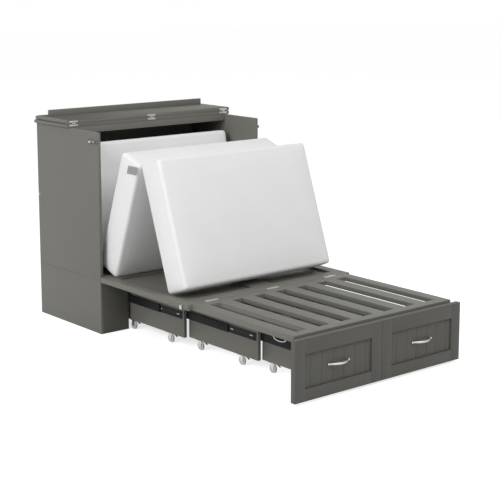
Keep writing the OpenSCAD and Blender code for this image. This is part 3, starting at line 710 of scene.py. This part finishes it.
def puffed_block(size):
    """The cover's mesh about its own middle. Movement is capped, and smallest at the edges."""
    bm = bmesh.new()
    bmesh.ops.create_cube(bm, size=1.0)
    for v in bm.verts:
        v.co = Vector([v.co[k] * (size[k] - 2 * SLACK[k]) for k in range(3)])
    bmesh.ops.bevel(bm, geom=list(bm.edges), offset=EDGE_R, segments=EDGE_SEGMENTS, profile=0.5,
                    affect="EDGES")
    o = object_from("cover", bm)
    remesh = o.modifiers.new("remesh", "REMESH")
    remesh.mode = "VOXEL"
    remesh.voxel_size = VOXEL
    mesh = baked(o)
    start = [v.co.copy() for v in mesh.vertices]
    mesh = run_cloth(o)
    for v, p in zip(mesh.vertices, start):
        move = v.co - p
        gaps = sorted(size[k] / 2 - abs(p[k]) for k in range(3))
        free = min(1.0, max(0.0, gaps[1] - EDGE_R) / EDGE_REACH)
        cap = PUFF * (EDGE_PUFF_SHARE + (1 - EDGE_PUFF_SHARE) * free)
        if move.length > cap:
            v.co = p + move * (cap / move.length)
    bpy.data.objects.remove(o)
    return mesh


def cushion(cover, node, body, seed):
    """A copy of the cover in the node's place; seed picks its soft waves, which fade at the edges."""
    size, mid, turn = own_axes(node)
    o = linked(node + "_cushion", cover.copy())
    for v in o.data.vertices:
        p = v.co
        fade = 1 - max(abs(p.x) / size.x * 2, abs(p.z) / size.z * 2) ** WAVE_FADE_POWER
        wave = noise.noise(Vector((p.x * WAVE_SCALE, p.y * WAVE_SCALE, p.z * WAVE_SCALE + seed)))
        p.y += math.copysign(WAVE_HEIGHT * wave * max(0.0, fade), p.y)
        v.co = turn @ p + mid
    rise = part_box(node)[0].z - min(v.co.z for v in o.data.vertices)
    for v in o.data.vertices:
        v.co.z += rise
    sub = o.modifiers.new("smooth", "SUBSURF")
    sub.levels = 1
    baked(o)
    o.data.materials.clear()
    o.data.materials.append(TICKING)
    o.data.shade_smooth()
    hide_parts(node)
    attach(o, body)
    return o


COVER = puffed_block(own_axes("mattress_foot")[0])
soft = [cushion(COVER, "mattress_back", "cabinet", seed=1.0),
        cushion(COVER, "mattress_middle", "mattress_tent", seed=2.0),
        cushion(COVER, "mattress_foot", "mattress_tent", seed=3.0),
        dressed("mattress_tab", STRAP, "mattress_tent", STRAP_EASE)]
for o in soft:
    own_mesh(o)

# Stage: a pale floor and a plain room, which look white to the camera

WHITE = (1, 1, 1, 1)
FLOOR_GREY = (0.75, 0.75, 0.75, 1)
FLOOR_GLOW = 0.72
FLOOR_DROP = 0.0005
ROOM_LIGHT = 0.36


def behind(tree):
    """One for rays that see the background, zero for rays that light the object."""
    path = tree.nodes.new("ShaderNodeLightPath")
    total = path.outputs["Is Camera Ray"]
    for kind in ("Is Glossy Ray", "Is Transmission Ray"):
        adder = tree.nodes.new("ShaderNodeMath")
        adder.operation = "ADD"
        adder.use_clamp = True
        tree.links.new(total, adder.inputs[0])
        tree.links.new(path.outputs[kind], adder.inputs[1])
        total = adder.outputs[0]
    return total


def link_mixed(tree, lighting, seen, surface):
    """Join one shader to the surface for rays that light, and another for rays that see."""
    mix = tree.nodes.new("ShaderNodeMixShader")
    tree.links.new(behind(tree), mix.inputs["Fac"])
    tree.links.new(lighting.outputs[0], mix.inputs[1])
    tree.links.new(seen.outputs[0], mix.inputs[2])
    tree.links.new(mix.outputs[0], surface)


def pale_floor():
    material, tree, bsdf = new_material("pale_floor")
    tree.nodes.remove(bsdf)
    matte = tree.nodes.new("ShaderNodeBsdfDiffuse")
    matte.inputs["Color"].default_value = FLOOR_GREY
    light = tree.nodes.new("ShaderNodeEmission")
    light.inputs["Strength"].default_value = FLOOR_GLOW
    both = tree.nodes.new("ShaderNodeAddShader")
    tree.links.new(matte.outputs[0], both.inputs[0])
    tree.links.new(light.outputs[0], both.inputs[1])
    link_mixed(tree, matte, both, tree.nodes["Material Output"].inputs["Surface"])
    return material


bm = bmesh.new()
bmesh.ops.create_grid(bm, x_segments=1, y_segments=1, size=30.0)
floor = object_from("floor", bm)
floor.location.z = -FLOOR_DROP
floor.data.materials.append(pale_floor())

world = bpy.data.worlds.new("studio")
scene.world = world
world.use_nodes = True
tree = world.node_tree
ambient = tree.nodes["Background"]
ambient.inputs["Color"].default_value = WHITE
ambient.inputs["Strength"].default_value = ROOM_LIGHT
white = tree.nodes.new("ShaderNodeBackground")
white.inputs["Color"].default_value = WHITE
white.inputs["Strength"].default_value = 1.0
link_mixed(tree, ambient, white, tree.nodes["World Output"].inputs["Surface"])


def area(name, place, target, size, power):
    """A square lamp that faces its target; power is in watts."""
    lamp = bpy.data.lights.new(name, "AREA")
    lamp.shape = "SQUARE"
    lamp.size = size
    lamp.energy = power
    holder = linked(name, lamp)
    holder.location = place
    holder.rotation_mode = "QUATERNION"
    holder.rotation_quaternion = (Vector(place) - Vector(target)).to_track_quat("Z", "Y")


area("key_left", place=(-5.5, -0.5, 3.6), target=(0, 0, 0.4), size=3.5, power=190)
area("high_front", place=(0.3, -3.7, 4.8), target=(0, -0.2, 0.5), size=3.5, power=130)

# Camera, worked out from the level and upright edges in the photograph

SENSOR = 36.0
FRAME_PX = 500.0
FOCAL_PX = 1311.15
SHIFT_SHARE = -0.1
CAMERA_PLACE = (-4.31008, -5.2745, 1.93185)
YAW = math.radians(39.807)
PITCH = math.radians(-9.9314)
cam = bpy.data.cameras.new("camera")
cam.sensor_width = SENSOR
cam.lens = FOCAL_PX / FRAME_PX * SENSOR
cam.shift_y = SHIFT_SHARE
cam.clip_end = 100.0
camera = linked("camera", cam)
camera.location = CAMERA_PLACE
look = Vector((math.sin(YAW) * math.cos(PITCH), math.cos(YAW) * math.cos(PITCH),
               math.sin(PITCH)))
camera.rotation_mode = "QUATERNION"
camera.rotation_quaternion = look.to_track_quat("-Z", "Y")
scene.camera = camera
scene.view_settings.view_transform = "Standard"
